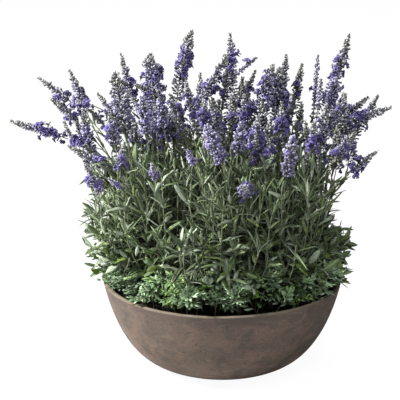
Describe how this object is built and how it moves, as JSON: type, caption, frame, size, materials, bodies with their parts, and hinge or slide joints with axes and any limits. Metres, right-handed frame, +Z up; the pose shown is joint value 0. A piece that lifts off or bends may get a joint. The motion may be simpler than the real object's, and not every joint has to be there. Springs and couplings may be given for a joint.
{
  "type": "potted plant",
  "caption": "Lavender in bloom planted in a low round bowl: violet flower spikes over grey-green leafy bushes, with a ring of small leafy herbs at the rim",
  "frame": {"origin": "centre of the bowl's flat foot, on the surface it rests on", "axes": "+Z up out of the bowl, +X to the right and +Y to the back as the picture shows it"},
  "size_m": [0.628, 0.4393, 0.56],
  "materials": {
    "bowl": "matte",
    "soil": "rough",
    "foliage": "matte",
    "flower": "matte",
    "edging": "matte"
  },
  "bodies": {
    "root": {"bowl": "bowl", "soil": "soil", "lavender_left": "foliage", "lavender_front_left": "foliage", "lavender_back_left": "foliage", "lavender_centre": "foliage", "lavender_back_right": "foliage", "lavender_right": "foliage", "lavender_front_right": "foliage", "lavender_front": "foliage", "spike_left_1": "flower", "spike_left_2": "flower", "spike_left_3": "flower", "spike_left_4": "flower", "spike_left_5": "flower", "spike_front_left_1": "flower", "spike_front_left_2": "flower", "spike_front_left_3": "flower", "spike_front_left_4": "flower", "spike_front_left_5": "flower", "spike_back_left_1": "flower", "spike_back_left_2": "flower", "spike_back_left_3": "flower", "spike_back_left_4": "flower", "spike_back_left_5": "flower", "spike_back_left_6": "flower", "spike_centre_1": "flower", "spike_centre_2": "flower", "spike_centre_3": "flower", "spike_centre_4": "flower", "spike_centre_5": "flower", "spike_centre_6": "flower", "spike_back_right_1": "flower", "spike_back_right_2": "flower", "spike_back_right_3": "flower", "spike_back_right_4": "flower", "spike_back_right_5": "flower", "spike_right_1": "flower", "spike_right_2": "flower", "spike_right_3": "flower", "spike_right_4": "flower", "spike_right_5": "flower", "spike_right_6": "flower", "spike_right_7": "flower", "spike_front_right_1": "flower", "spike_front_right_2": "flower", "spike_front_right_3": "flower", "spike_front_right_4": "flower", "spike_front_right_5": "flower", "spike_front_1": "flower", "spike_front_2": "flower", "spike_front_3": "flower", "spike_front_4": "flower", "spike_front_5": "flower", "edging_herb_1": "edging", "edging_herb_2": "edging", "edging_herb_3": "edging", "edging_herb_4": "edging", "edging_herb_5": "edging", "edging_herb_6": "edging"}
  },
  "joints": []
}
